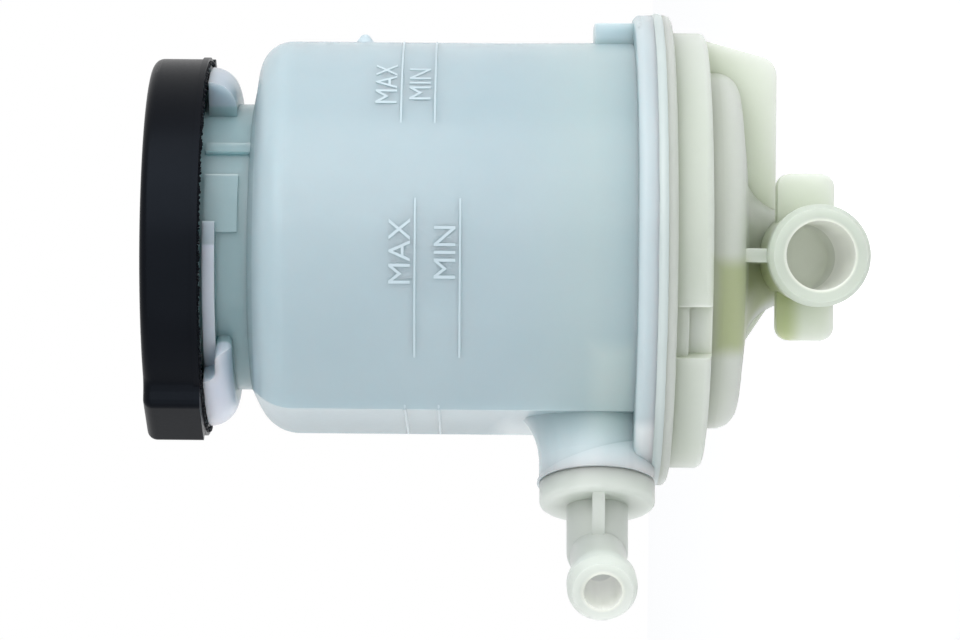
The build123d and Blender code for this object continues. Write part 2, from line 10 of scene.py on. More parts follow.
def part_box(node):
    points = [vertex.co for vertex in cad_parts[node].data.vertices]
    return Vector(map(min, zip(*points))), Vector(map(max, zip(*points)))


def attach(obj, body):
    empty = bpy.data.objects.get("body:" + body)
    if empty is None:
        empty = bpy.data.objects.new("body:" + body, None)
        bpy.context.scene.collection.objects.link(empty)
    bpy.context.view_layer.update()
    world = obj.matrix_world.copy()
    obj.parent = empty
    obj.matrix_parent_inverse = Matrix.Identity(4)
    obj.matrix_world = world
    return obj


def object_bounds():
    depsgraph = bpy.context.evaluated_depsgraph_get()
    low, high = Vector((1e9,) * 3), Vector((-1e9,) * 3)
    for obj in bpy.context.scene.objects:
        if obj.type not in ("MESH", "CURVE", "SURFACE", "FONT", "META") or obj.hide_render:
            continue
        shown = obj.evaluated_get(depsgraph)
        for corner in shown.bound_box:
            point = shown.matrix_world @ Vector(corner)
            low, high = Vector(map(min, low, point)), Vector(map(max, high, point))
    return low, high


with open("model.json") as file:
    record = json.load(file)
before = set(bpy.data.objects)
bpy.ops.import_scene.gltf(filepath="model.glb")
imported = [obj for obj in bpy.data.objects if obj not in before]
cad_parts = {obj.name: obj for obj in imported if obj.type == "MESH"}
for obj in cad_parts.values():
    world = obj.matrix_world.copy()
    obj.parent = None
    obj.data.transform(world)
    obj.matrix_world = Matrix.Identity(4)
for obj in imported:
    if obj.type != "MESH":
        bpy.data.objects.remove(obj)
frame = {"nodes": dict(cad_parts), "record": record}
cad_low, cad_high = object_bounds()
nodes = frame["nodes"]
mounts = {mount["name"]: mount for mount in frame["record"]["mounts"]}
MM = 0.001

# Measures taken from the frame
MIDDLE = (cad_low + cad_high) / 2
SEAT_RADIUS = mounts["strap_seat"]["dims"]["r_mm"] * MM
BASE_LOW, BASE_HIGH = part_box("lower_body")
CAP_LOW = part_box("cap_shell")[0]

# Kinds of socket in the node groups
COLOUR = "NodeSocketColor"
NUMBER = "NodeSocketFloat"
COUNT = "NodeSocketInt"
VECTOR = "NodeSocketVector"
GEOMETRY = "NodeSocketGeometry"


# Small helpers for node trees

def srgb(red, green, blue):
    """Linear colour with alpha from sRGB values of 0 to 255."""
    def linear(value):
        share = value / 255
        if share <= 0.04045:
            return share / 12.92
        return ((share + 0.055) / 1.055) ** 2.4
    return (linear(red), linear(green), linear(blue), 1.0)


def add_node(tree, kind, **settings):
    """New node with its own settings, and with input values where a setting names a socket."""
    node = tree.nodes.new(kind)
    for name, value in settings.items():
        if hasattr(node, name):
            setattr(node, name, value)
        else:
            node.inputs[name.replace("_", " ")].default_value = value
    return node


def join(tree, source, target):
    """Links an output to an input."""
    tree.links.new(source, target)


def math_node(tree, operation, first, second=0.0, clamp=False):
    """Math node whose inputs are sockets or plain numbers."""
    node = tree.nodes.new("ShaderNodeMath")
    node.operation = operation
    node.use_clamp = clamp
    for socket, value in zip(node.inputs, (first, second)):
        if isinstance(value, (int, float)):
            socket.default_value = value
        else:
            join(tree, value, socket)
    return node.outputs[0]


def mix_colour(tree, factor, first, second):
    """Colour mix whose inputs are sockets or plain colours."""
    node = tree.nodes.new("ShaderNodeMix")
    node.data_type = "RGBA"
    for socket, value in zip((node.inputs[0], node.inputs[6], node.inputs[7]), (factor, first, second)):
        if hasattr(value, "links"):
            join(tree, value, socket)
        else:
            socket.default_value = value
    return node.outputs[2]


def object_place(tree):
    """Place on the piece in the part's own frame."""
    return tree.nodes.new("ShaderNodeTexCoord").outputs["Object"]


def place_group(tree, group, **values):
    """Node group placed in a tree, with its input values by name."""
    node = tree.nodes.new("ShaderNodeGroup")
    node.node_tree = group
    for name, value in values.items():
        node.inputs[name.replace("_", " ")].default_value = value
    return node


def group_sockets(group, inputs, outputs):
    """Named inputs and outputs of a node group, and its two end nodes."""
    for direction, sockets in (("INPUT", inputs), ("OUTPUT", outputs)):
        for name, kind in sockets:
            group.interface.new_socket(name, in_out=direction, socket_type=kind)
    return group.nodes.new("NodeGroupInput"), group.nodes.new("NodeGroupOutput")


# Shader groups that the plastics share

def moulded_skin_group():
    """Skin of a moulded plastic: cloudy colour, uneven gloss, and fine grain for the bump."""
    group = bpy.data.node_groups.new("moulded_skin", "ShaderNodeTree")
    start, end = group_sockets(
        group,
        [("Deep Colour", COLOUR), ("Pale Colour", COLOUR), ("Cloud Scale", NUMBER), ("Grain Scale", NUMBER),
         ("Gloss Low", NUMBER), ("Gloss High", NUMBER)],
        [("Colour", COLOUR), ("Roughness", NUMBER), ("Height", NUMBER)])
    place = object_place(group)
    cloud = add_node(group, "ShaderNodeTexNoise", Detail=4.0, Roughness=0.55)
    join(group, place, cloud.inputs["Vector"])
    join(group, start.outputs["Cloud Scale"], cloud.inputs["Scale"])
    grain = add_node(group, "ShaderNodeTexNoise", Detail=2.0, Roughness=0.6)
    join(group, place, grain.inputs["Vector"])
    join(group, start.outputs["Grain Scale"], grain.inputs["Scale"])
    spread = add_node(group, "ShaderNodeMapRange", From_Min=0.3, From_Max=0.7)
    join(group, cloud.outputs[0], spread.inputs["Value"])
    colour = mix_colour(group, spread.outputs[0], start.outputs["Deep Colour"], start.outputs["Pale Colour"])
    gloss = add_node(group, "ShaderNodeMapRange")
    join(group, grain.outputs[0], gloss.inputs["Value"])
    join(group, start.outputs["Gloss Low"], gloss.inputs["To Min"])
    join(group, start.outputs["Gloss High"], gloss.inputs["To Max"])
    join(group, colour, end.inputs["Colour"])
    join(group, gloss.outputs[0], end.inputs["Roughness"])
    join(group, grain.outputs[0], end.inputs["Height"])
    return group


def soft_step(group, depth, softness):
    """Mask that rises from nought to one over a soft edge, half of it on either side of zero depth."""
    mask = add_node(group, "ShaderNodeMapRange", interpolation_type="SMOOTHSTEP", From_Min=-0.5, From_Max=0.5)
    join(group, math_node(group, "DIVIDE", depth, softness), mask.inputs["Value"])
    return mask.outputs[0]


def zone_mask_group():
    """Soft mask of a box in the part's own frame, one inside and nought outside."""
    group = bpy.data.node_groups.new("zone_mask", "ShaderNodeTree")
    start, end = group_sockets(
        group, [("Centre", VECTOR), ("Half Size", VECTOR), ("Softness", NUMBER)], [("Mask", NUMBER)])
    offset = add_node(group, "ShaderNodeVectorMath", operation="SUBTRACT")
    join(group, object_place(group), offset.inputs[0])
    join(group, start.outputs["Centre"], offset.inputs[1])
    distance = add_node(group, "ShaderNodeVectorMath", operation="ABSOLUTE")
    join(group, offset.outputs[0], distance.inputs[0])
    depth = add_node(group, "ShaderNodeVectorMath", operation="SUBTRACT")
    join(group, start.outputs["Half Size"], depth.inputs[0])
    join(group, distance.outputs[0], depth.inputs[1])
    parts = add_node(group, "ShaderNodeSeparateXYZ")
    join(group, depth.outputs[0], parts.inputs[0])
    nearest = math_node(group, "MINIMUM", parts.outputs[0], parts.outputs[1])
    nearest = math_node(group, "MINIMUM", nearest, parts.outputs[2])
    join(group, soft_step(group, nearest, start.outputs["Softness"]), end.inputs["Mask"])
    return group


def round_mask_group():
    """Soft mask of all that lies further from a line than a radius."""
    group = bpy.data.node_groups.new("round_mask", "ShaderNodeTree")
    start, end = group_sockets(
        group, [("Point", VECTOR), ("Axis", VECTOR), ("Radius", NUMBER), ("Softness", NUMBER)],
        [("Outside", NUMBER)])
    offset = add_node(group, "ShaderNodeVectorMath", operation="SUBTRACT")
    join(group, object_place(group), offset.inputs[0])
    join(group, start.outputs["Point"], offset.inputs[1])
    across = add_node(group, "ShaderNodeVectorMath", operation="CROSS_PRODUCT")
    join(group, offset.outputs[0], across.inputs[0])
    join(group, start.outputs["Axis"], across.inputs[1])
    reach = add_node(group, "ShaderNodeVectorMath", operation="LENGTH")
    join(group, across.outputs[0], reach.inputs[0])
    past = math_node(group, "SUBTRACT", reach.outputs["Value"], start.outputs["Radius"])
    join(group, soft_step(group, past, start.outputs["Softness"]), end.inputs["Outside"])
    return group


def painted_corner_shade_group():
    """Painted shade: deepens a milky plastic's colour towards a darker tint in its corners, by ambient
    occlusion.
    """
    group = bpy.data.node_groups.new("painted_corner_shade", "ShaderNodeTree")
    start, end = group_sockets(
        group, [("Colour", COLOUR), ("Recess Colour", COLOUR), ("Reach", NUMBER), ("Strength", NUMBER)],
        [("Colour", COLOUR)])
    # Painted shade: the colour darkens where ambient occlusion finds nearby surfaces
    corner = add_node(group, "ShaderNodeAmbientOcclusion", samples=8)
    join(group, start.outputs["Reach"], corner.inputs["Distance"])
    depth = math_node(group, "SUBTRACT", 1.0, corner.outputs["AO"])
    depth = math_node(group, "MULTIPLY", depth, start.outputs["Strength"], clamp=True)
    colour = mix_colour(group, depth, start.outputs["Colour"], start.outputs["Recess Colour"])
    join(group, colour, end.inputs["Colour"])
    return group


MOULDED_SKIN = moulded_skin_group()
ZONE_MASK = zone_mask_group()
ROUND_MASK = round_mask_group()
PAINTED_CORNER_SHADE = painted_corner_shade_group()


def zone(tree, low, high, softness):
    """Mask of the box between two corners, in millimetres."""
    low, high = Vector(low) * MM, Vector(high) * MM
    node = place_group(tree, ZONE_MASK, Centre=(low + high) / 2, Half_Size=(high - low) / 2,
                       Softness=softness * MM)
    return node.outputs["Mask"]


def outside(tree, point, axis, radius, softness):
    """Mask of what lies further than a radius in millimetres from a line in the part's frame."""
    node = place_group(tree, ROUND_MASK, Point=point, Axis=axis, Radius=radius * MM, Softness=softness * MM)
    return node.outputs["Outside"]


def shade_corners(tree, colour, shade_colour, reach, strength):
    """Colour with painted shade in its corners, within a reach in millimetres."""
    node = place_group(tree, PAINTED_CORNER_SHADE, Recess_Colour=shade_colour, Reach=reach * MM, Strength=strength)
    join(tree, colour, node.inputs["Colour"])
    return node.outputs["Colour"]


BORE_EDGE = 1.0
PAST_PART = 100


def inside_port(tree, mount_name, radius, back):
    """Mask of a hose port's bore, from its mouth as far as a place on the Y axis, in millimetres."""
    mount = mounts[mount_name]
    beyond = outside(tree, mount["pos_m"], mount["axis"], radius, BORE_EDGE)
    within = math_node(tree, "SUBTRACT", 1.0, beyond)
    front = zone(tree, (-PAST_PART, -PAST_PART, -PAST_PART), (PAST_PART, back, PAST_PART), BORE_EDGE)
    return math_node(tree, "MULTIPLY", within, front)


def paint_zones(tree, colour, zones, within=None):
    """Colour with zones painted over it in turn, kept to a further mask where there is one."""
    for low, high, softness, zone_colour in zones.values():
        mask = zone(tree, low, high, softness)
        if within is not None:
            mask = math_node(tree, "MULTIPLY", within, mask)
        colour = mix_colour(tree, mask, colour, zone_colour)
    return colour


# Finishes

SKIN_GRAIN = 900.0
SKIN_BUMP_STRENGTH = 0.35
MILKY_SPECULAR = 0.3


def new_material(name):
    """Empty node material with a Principled shader."""
    material = bpy.data.materials.new(name)
    material.use_nodes = True
    tree = material.node_tree
    tree.nodes.clear()
    shader = tree.nodes.new("ShaderNodeBsdfPrincipled")
    output = tree.nodes.new("ShaderNodeOutputMaterial")
    join(tree, shader.outputs[0], output.inputs["Surface"])
    return material, tree, shader


def moulded_plastic(name, deep, pale, cloud_scale, gloss, bump_height, grain_scale=SKIN_GRAIN):
    """Moulded plastic finish that the pieces share, before their own colour zones."""
    material, tree, shader = new_material(name)
    skin = place_group(tree, MOULDED_SKIN, Deep_Colour=deep, Pale_Colour=pale, Cloud_Scale=cloud_scale,
                       Grain_Scale=grain_scale, Gloss_Low=gloss[0], Gloss_High=gloss[1])
    bump = add_node(tree, "ShaderNodeBump", Strength=SKIN_BUMP_STRENGTH, Distance=bump_height)
    join(tree, skin.outputs["Height"], bump.inputs["Height"])
    join(tree, skin.outputs["Colour"], shader.inputs["Base Color"])
    join(tree, skin.outputs["Roughness"], shader.inputs["Roughness"])
    join(tree, bump.outputs[0], shader.inputs["Normal"])
    return material, tree, shader, skin


def milky(shader, depth, tint):
    """Lets light sink into a milky plastic, whose gloss is weak."""
    shader.inputs["Subsurface Weight"].default_value = 1.0
    shader.inputs["Subsurface Scale"].default_value = depth
    shader.inputs["Subsurface Radius"].default_value = tint
    shader.inputs["Specular IOR Level"].default_value = MILKY_SPECULAR


# Each zone: low corner, high corner and width of its soft edge in millimetres, and its colour
WIDE = 60
TANK_ZONES = {
    "near_weld": ((-WIDE, -WIDE, -46), (WIDE, WIDE, -30), 26.0, srgb(172, 192, 195)),
    "neck": ((-WIDE, -WIDE, 28.5), (WIDE, WIDE, 60), 3.0, srgb(142, 167, 173)),
    # Painted light: the hood and the boss are made paler where they lie in shade
    "hood_painted_light": ((-44, -WIDE, -46), (-19, 0, -38), 5.0, srgb(184, 203, 203)),
    "boss": ((-80, -WIDE, -50), (-36.5, WIDE, -22), 9.0, srgb(208, 221, 225)),
    "tab": ((41.6, -WIDE, -46.4), (WIDE, WIDE, -30), 1.0, srgb(184, 199, 206)),
    # Painted shade: the flat side is made darker
    "flat": ((-WIDE, -WIDE, -20), (-34, WIDE, 26), 6.0, srgb(142, 163, 170)),
    "rim": ((-WIDE, -WIDE, -53), (WIDE, WIDE, -45.6), 1.5, srgb(184, 198, 203)),
    # Painted light: the rim by the boss is made paler where it lies in shade
    "rim_by_boss_painted_light": ((-WIDE, -WIDE, -53), (-34, WIDE, -45.6), 3.0, srgb(218, 228, 231)),
}
# Ears: paler lilac plastic, with painted light on the near ear and painted shade on the far ear
EARS_PAINTED_LIT_AND_SHADED = {
    "near_ear_painted_light": ((-WIDE, -WIDE, 31.6), (0, WIDE, 37.9), 1.0, srgb(203, 210, 228)),
    "far_ear_painted_shade": ((0, -WIDE, 31.6), (WIDE, WIDE, 37.9), 1.0, srgb(168, 179, 192)),
}
# Painted light: the dome, which faces away from the lamps, is made paler
DOME_PAINTED_LIGHT_ZONES = {
    "dome_painted_light": ((-WIDE, -WIDE, -100), (WIDE, WIDE, -60.8), 1.0, srgb(204, 212, 199)),
}
# Painted shade: olive under the rib by the elbow, and darker on the barrel's front
ELBOW_PAINTED_SHADE_ZONES = {
    "under_rib_painted_shade": ((-20, -WIDE, -78), (-2.6, -6, -61), 4.0, srgb(166, 176, 136)),
    "barrel_painted_shade": ((-12, -WIDE, -93), (10, -24, -68), 3.0, srgb(180, 189, 178)),
}
EAR_INNER_RADIUS = 30.6
EAR_EDGE = 1.0


def tank_plastic():
    """Bluish milky plastic, deeper at the neck and paler on the rim, with painted shade on the flat side and
    in its corners, painted light on the hood, boss and rim by the boss, and pale ears with painted light on
    the near one and painted shade on the far one.
    """
    material, tree, shader, skin = moulded_plastic(
        "tank_plastic", srgb(160, 181, 190), srgb(174, 193, 201), cloud_scale=14.0, gloss=(0.22, 0.28),
        bump_height=0.008 * MM)
    # Colour zones, some of them painted light and painted shade
    colour = paint_zones(tree, skin.outputs["Colour"], TANK_ZONES)
    ear = outside(tree, (0, 0, 0), (0, 0, 1), EAR_INNER_RADIUS, EAR_EDGE)
    # Painted light on the near ear and painted shade on the far ear
    colour = paint_zones(tree, colour, EARS_PAINTED_LIT_AND_SHADED, within=ear)
    # Painted shade in the corners
    colour = shade_corners(tree, colour, srgb(128, 156, 158), reach=9.0, strength=0.6)
    join(tree, colour, shader.inputs["Base Color"])
    milky(shader, depth=9 * MM, tint=(0.8, 1.0, 1.0))
    return material


def base_plastic():
    """Creamy milky plastic with painted olive shade in its corners and under the rib, painted shade on the
    barrel's front, painted light on the dome, and painted light inside the suction port.
    """
    material, tree, shader, skin = moulded_plastic(
        "base_plastic", srgb(189, 197, 186), srgb(199, 206, 197), cloud_scale=18.0, gloss=(0.26, 0.34),
        bump_height=0.012 * MM)
    # Painted light on the dome
    colour = paint_zones(tree, skin.outputs["Colour"], DOME_PAINTED_LIGHT_ZONES)
    # Painted olive shade in the corners
    colour = shade_corners(tree, colour, srgb(164, 173, 146), reach=12.0, strength=0.8)
    # Painted shade under the rib and on the barrel's front
    colour = paint_zones(tree, colour, ELBOW_PAINTED_SHADE_ZONES)
    bore = inside_port(tree, "suction_port", radius=6.9, back=-9.0)
    # Painted light: near white inside the suction port's bore
    colour = mix_colour(tree, bore, colour, srgb(240, 246, 230))
    join(tree, colour, shader.inputs["Base Color"])
    milky(shader, depth=14 * MM, tint=(1.0, 1.0, 0.95))
    return material


def nozzle_plastic():
    """Paler milky plastic, with a little painted shade in its corners and painted light inside the return
    port.
    """
    material, tree, shader, skin = moulded_plastic(
        "nozzle_plastic", srgb(195, 203, 194), srgb(205, 212, 204), cloud_scale=30.0, gloss=(0.26, 0.34),
        bump_height=0.012 * MM)
    # Painted shade in the corners
    colour = shade_corners(tree, skin.outputs["Colour"], srgb(184, 191, 172), reach=8.0, strength=0.2)
    bore = inside_port(tree, "return_port", radius=4.0, back=-26.0)
    # Painted light: near white inside the return port's bore
    colour = mix_colour(tree, bore, colour, srgb(236, 242, 226))
    join(tree, colour, shader.inputs["Base Color"])
    milky(shader, depth=14 * MM, tint=(1.0, 1.0, 1.0))
    return material


def cap_plastic():
    """Black moulded plastic with a fine grain and a weak, cool gloss."""
    material, tree, shader, skin = moulded_plastic(
        "cap_plastic", srgb(5, 6, 9), srgb(9, 10, 14), cloud_scale=60.0, gloss=(0.27, 0.38),
        bump_height=0.02 * MM, grain_scale=1400.0)
    shader.inputs["Specular IOR Level"].default_value = 0.09
    shader.inputs["Specular Tint"].default_value = (0.66, 0.8, 1.0, 1)
    return material


def trim_plastic(name, deep, pale):
    """Satin plastic of the small trim on the tank."""
    return moulded_plastic(name, deep, pale, cloud_scale=40.0, gloss=(0.25, 0.35), bump_height=0.012 * MM)[0]


def inner_plastic(name, deep, pale):
    """Matt finish of the pieces inside."""
    return moulded_plastic(name, deep, pale, cloud_scale=60.0, gloss=(0.4, 0.55), bump_height=0.02 * MM)[0]


FINISHES = {
    "upper_body": tank_plastic(),
    "lower_body": base_plastic(),
    "return_nozzle": nozzle_plastic(),
    "cap_shell": cap_plastic(),
    "cap_gasket": inner_plastic("gasket_rubber", srgb(24, 24, 24), srgb(34, 33, 32)),
    "cap_splash_disc": inner_plastic("disc_plastic", srgb(205, 205, 198), srgb(222, 222, 216)),
    "strainer_frame": inner_plastic("strainer_plastic", srgb(200, 200, 190), srgb(216, 216, 208)),
    "strainer_mesh": inner_plastic("mesh_nylon", srgb(176, 176, 168), srgb(206, 206, 198)),
}
RAISED_MARK_FINISH = trim_plastic("raised_mark_plastic", srgb(178, 196, 204), srgb(190, 206, 213))
WELD_FINISH = trim_plastic("weld_plastic", srgb(184, 196, 195), srgb(194, 205, 203))

for name, finish in FINISHES.items():
    nodes[name].data.materials.clear()
    nodes[name].data.materials.append(finish)


def add_piece(name, mesh, material, body):
    """Puts a finished mesh in the scene as a piece that moves with a body."""
    piece = bpy.data.objects.new(name, mesh)
    bpy.context.scene.collection.objects.link(piece)
    mesh.materials.clear()
    mesh.materials.append(material)
    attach(piece, body)


MERGE_DISTANCE = 0.001 * MM


def closed_mesh(name, shape):
    """Mesh of a finished bmesh, with its doubles merged and its faces turned outwards."""
    bmesh.ops.remove_doubles(shape, verts=shape.verts, dist=MERGE_DISTANCE)
    bmesh.ops.recalc_face_normals(shape, faces=shape.faces)
    mesh = bpy.data.meshes.new(name)
    shape.to_mesh(mesh)
    shape.free()
    return mesh


# Raised level marks: angles in degrees about the tank's axis

MARK_RISE = 0.13 * MM
MARK_WIDTH = 0.5 * MM
MARK_SECTION = ((-0.5, -0.6), (-0.35, 0.7), (0.0, 1.0), (0.35, 0.7), (0.5, -0.6))
MARK_END_SINK = 0.3
MARK_END_STEPS = 2
LINE_STEPS = 48
HOT_LINES = (-0.75 * MM, -7.25 * MM)
HOT_ARC = (304.0, 376.0)
HOT_WORD_ANGLE = 320.0
COLD_LINES = (-3.75 * MM, -12.35 * MM)
COLD_ARC = (238.0, 283.0)
COLD_WORD_ANGLE = 268.0
FLAT_LINES = (-1.85 * MM, -8.4 * MM)
FLAT_ARC = (150.0, 222.5)
LETTER_HEIGHT = 4.2 * MM
CAPITAL_SHARE = 0.7
LETTER_STEPS = 3
WORD_GAP = 0.9 * MM

tank_skin = BVHTree.FromPolygons(
    [vertex.co.copy() for vertex in nodes["upper_body"].data.vertices],
    [tuple(face.vertices) for face in nodes["upper_body"].data.polygons])


def on_tank(angle, height, rise):
    """Point on the tank's side at an angle about its axis, raised off the surface."""
    out = Vector((cos(radians(angle)), sin(radians(angle)), 0))
    far = 2 * SEAT_RADIUS * out + Vector((0, 0, height))
    surface, normal = tank_skin.ray_cast(far, -out)[:2]
    return surface + rise * normal


def add_level_line(shape, height, start, end):
    """Low rounded ridge along the seat between two angles, sunk a little into the wall at both ends."""
    rows = []
    for step in range(LINE_STEPS + 1):
        angle = start + (end - start) * step / LINE_STEPS
        fade = min(1.0, step / MARK_END_STEPS, (LINE_STEPS - step) / MARK_END_STEPS)
        row = []
        for across, rise in MARK_SECTION:
            lift = (rise * fade - MARK_END_SINK * (1 - fade)) * MARK_RISE
            row.append(shape.verts.new(on_tank(angle, height + across * MARK_WIDTH, lift)))
        rows.append(row)
    for row, after in zip(rows, rows[1:]):
        for i in range(len(MARK_SECTION) - 1):
            shape.faces.new((row[i], after[i], after[i + 1], row[i + 1]))
        shape.faces.new((row[-1], after[-1], after[0], row[0]))
    shape.faces.new(rows[0])
    shape.faces.new(reversed(rows[-1]))


def word_mesh(word):
    """Flat mesh of a word, centred, with a little thickness."""
    curve = bpy.data.curves.new(word, "FONT")
    curve.body = word
    curve.size = LETTER_HEIGHT / CAPITAL_SHARE
    curve.extrude = MARK_RISE
    curve.align_x = "CENTER"
    curve.resolution_u = LETTER_STEPS
    holder = bpy.data.objects.new(word, curve)
    bpy.context.scene.collection.objects.link(holder)
    mesh = bpy.data.meshes.new_from_object(holder)
    bpy.data.objects.remove(holder)
    bpy.data.curves.remove(curve)
    return mesh


def add_word(shape, word, angle, height):
    """Word wrapped onto the seat, read with the cap at the top."""
    mesh = word_mesh(word)
    places = {}
    for vertex in mesh.vertices:
        turn = vertex.co.x / SEAT_RADIUS * 180 / pi
        rise = MARK_RISE if vertex.co.z > 0 else -MARK_RISE
        places[vertex.index] = shape.verts.new(on_tank(angle + turn, height + vertex.co.y, rise))
    for face in mesh.polygons:
        shape.faces.new([places[i] for i in face.vertices])
    bpy.data.meshes.remove(mesh)


def make_level_marks():
    """Two pairs of level lines with their words on the round side, and a plain pair on the flat side."""
    shape = bmesh.new()
    worded_pairs = ((HOT_LINES, HOT_ARC, HOT_WORD_ANGLE), (COLD_LINES, COLD_ARC, COLD_WORD_ANGLE))
    for lines, arc, word_angle in worded_pairs:
        for height, word in zip(lines, ("MAX", "MIN")):
            add_level_line(shape, height, *arc)
            add_word(shape, word, word_angle, height + WORD_GAP)
    for height in FLAT_LINES:
        add_level_line(shape, height, *FLAT_ARC)
    mesh = closed_mesh("level_marks", shape)
    add_piece("level_marks", mesh, RAISED_MARK_FINISH, "reservoir")


# Gate nub: its profile is in shares of its radius and its rise

NUB_HEIGHT = 7.15 * MM
NUB_RADIUS = 1.7 * MM
NUB_RISE = 1.6 * MM
NUB_PROFILE = ((1.25, -0.25), (1.0, 0.12), (0.72, 0.5), (0.5, 0.82), (0.3, 0.96), (0.0, 1.0))
NUB_SIDES = 28


def make_gate_nub():
    """Small cone left by the mould's gate on the side away from the flat."""
    shape = bmesh.new()
    rings = []
    for reach, rise in NUB_PROFILE:
        out = SEAT_RADIUS + rise * NUB_RISE
        radius = reach * NUB_RADIUS
        angles = [2 * pi * i / NUB_SIDES for i in range(NUB_SIDES)]
        rings.append([shape.verts.new((out, radius * cos(angle), NUB_HEIGHT + radius * sin(angle)))
                      for angle in angles])
    for ring, after in zip(rings, rings[1:]):
        for i in range(NUB_SIDES):
            j = (i + 1) % NUB_SIDES
            shape.faces.new((ring[i], ring[j], after[j], after[i]))
    shape.faces.new(reversed(rings[0]))
    mesh = closed_mesh("gate_nub", shape)
    for face in mesh.polygons:
        face.use_smooth = True
    add_piece("gate_nub", mesh, RAISED_MARK_FINISH, "reservoir")


# Weld bead and moulding flash, by Geometry Nodes

WELD_INSET = 1.0 * MM
WELD_DROP = 0.3 * MM
WELD_BEAD = 1.35 * MM
WELD_WAVINESS = 0.15 * MM
WELD_WAVE_SCALE = 260.0
WELD_STEPS = 360
WELD_SECTION_STEPS = 20
FLASH_RADIUS = 36.7 * MM
FLASH_DROP = 0.05 * MM
FLASH_COUNT = 420
FLASH_STEPS = 128
FLASH_SEED = 4
FLAKE_RADIUS = 0.62 * MM
FLAKE_SMALLEST = (0.35, 0.35, 0.25)
FLAKE_LARGEST = (1.0, 0.9, 1.0)
FLAKE_TILT = 0.4


def geometry_tree(name, inputs):
    """Geometry Nodes tree with named number inputs and one mesh output."""
    tree = bpy.data.node_groups.new(name, "GeometryNodeTree")
    start, end = group_sockets(tree, [("Geometry", GEOMETRY)] + inputs, [("Geometry", GEOMETRY)])
    return tree, start, end


def finish_tree(tree, geometry, end, material):
    """Ends a tree in smooth, real geometry with its material."""
    smooth = add_node(tree, "GeometryNodeSetShadeSmooth")
    real = add_node(tree, "GeometryNodeRealizeInstances")
    paint = add_node(tree, "GeometryNodeSetMaterial")
    paint.inputs["Material"].default_value = material
    join(tree, geometry, smooth.inputs["Geometry"])
    join(tree, smooth.outputs["Geometry"], real.inputs["Geometry"])
    join(tree, real.outputs["Geometry"], paint.inputs["Geometry"])
    join(tree, paint.outputs["Geometry"], end.inputs["Geometry"])


def finished_mesh(name, tree, values):
    """Plain mesh that a Geometry Nodes tree makes with these input values."""
    blank = bpy.data.meshes.new(name)
    holder = bpy.data.objects.new(name, blank)
    bpy.context.scene.collection.objects.link(holder)
    modifier = holder.modifiers.new(name, "NODES")
    modifier.node_group = tree
    for item in tree.interface.items_tree:
        if item.in_out == "INPUT" and item.name in values:
            modifier[item.identifier] = values[item.name]
    graph = bpy.context.evaluated_depsgraph_get()
    mesh = bpy.data.meshes.new_from_object(holder.evaluated_get(graph), depsgraph=graph)
    holder.modifiers.remove(modifier)
    bpy.data.objects.remove(holder)
    bpy.data.meshes.remove(blank)
    mesh.name = name
    return mesh


def weld_bead_tree(material):
    """Thin uneven bead round a flange."""
    tree, start, end = geometry_tree(
        "weld_bead", [("Radius", NUMBER), ("Height", NUMBER), ("Bead", NUMBER), ("Waviness", NUMBER)])
    path = add_node(tree, "GeometryNodeCurvePrimitiveCircle", Resolution=WELD_STEPS)
    join(tree, start.outputs["Radius"], path.inputs["Radius"])
    place = add_node(tree, "GeometryNodeSetPosition")
    join(tree, path.outputs["Curve"], place.inputs["Geometry"])
    wave = add_node(tree, "ShaderNodeTexNoise", Scale=WELD_WAVE_SCALE, Detail=2.0)
    spread = add_node(tree, "ShaderNodeVectorMath", operation="SUBTRACT")
    spread.inputs[1].default_value = (0.5, 0.5, 0.5)
    join(tree, wave.outputs["Color"], spread.inputs[0])
    scale = add_node(tree, "ShaderNodeVectorMath", operation="SCALE")
    join(tree, spread.outputs[0], scale.inputs[0])
    join(tree, start.outputs["Waviness"], scale.inputs["Scale"])
    lift = add_node(tree, "ShaderNodeCombineXYZ")
    join(tree, start.outputs["Height"], lift.inputs["Z"])
    total = add_node(tree, "ShaderNodeVectorMath", operation="ADD")
    join(tree, scale.outputs[0], total.inputs[0])
    join(tree, lift.outputs[0], total.inputs[1])
    join(tree, total.outputs[0], place.inputs["Offset"])
    section = add_node(tree, "GeometryNodeCurvePrimitiveCircle", Resolution=WELD_SECTION_STEPS)
    join(tree, start.outputs["Bead"], section.inputs["Radius"])
    sweep = add_node(tree, "GeometryNodeCurveToMesh")
    join(tree, place.outputs["Geometry"], sweep.inputs["Curve"])
    join(tree, section.outputs["Curve"], sweep.inputs["Profile Curve"])
    finish_tree(tree, sweep.outputs["Mesh"], end, material)
    return tree


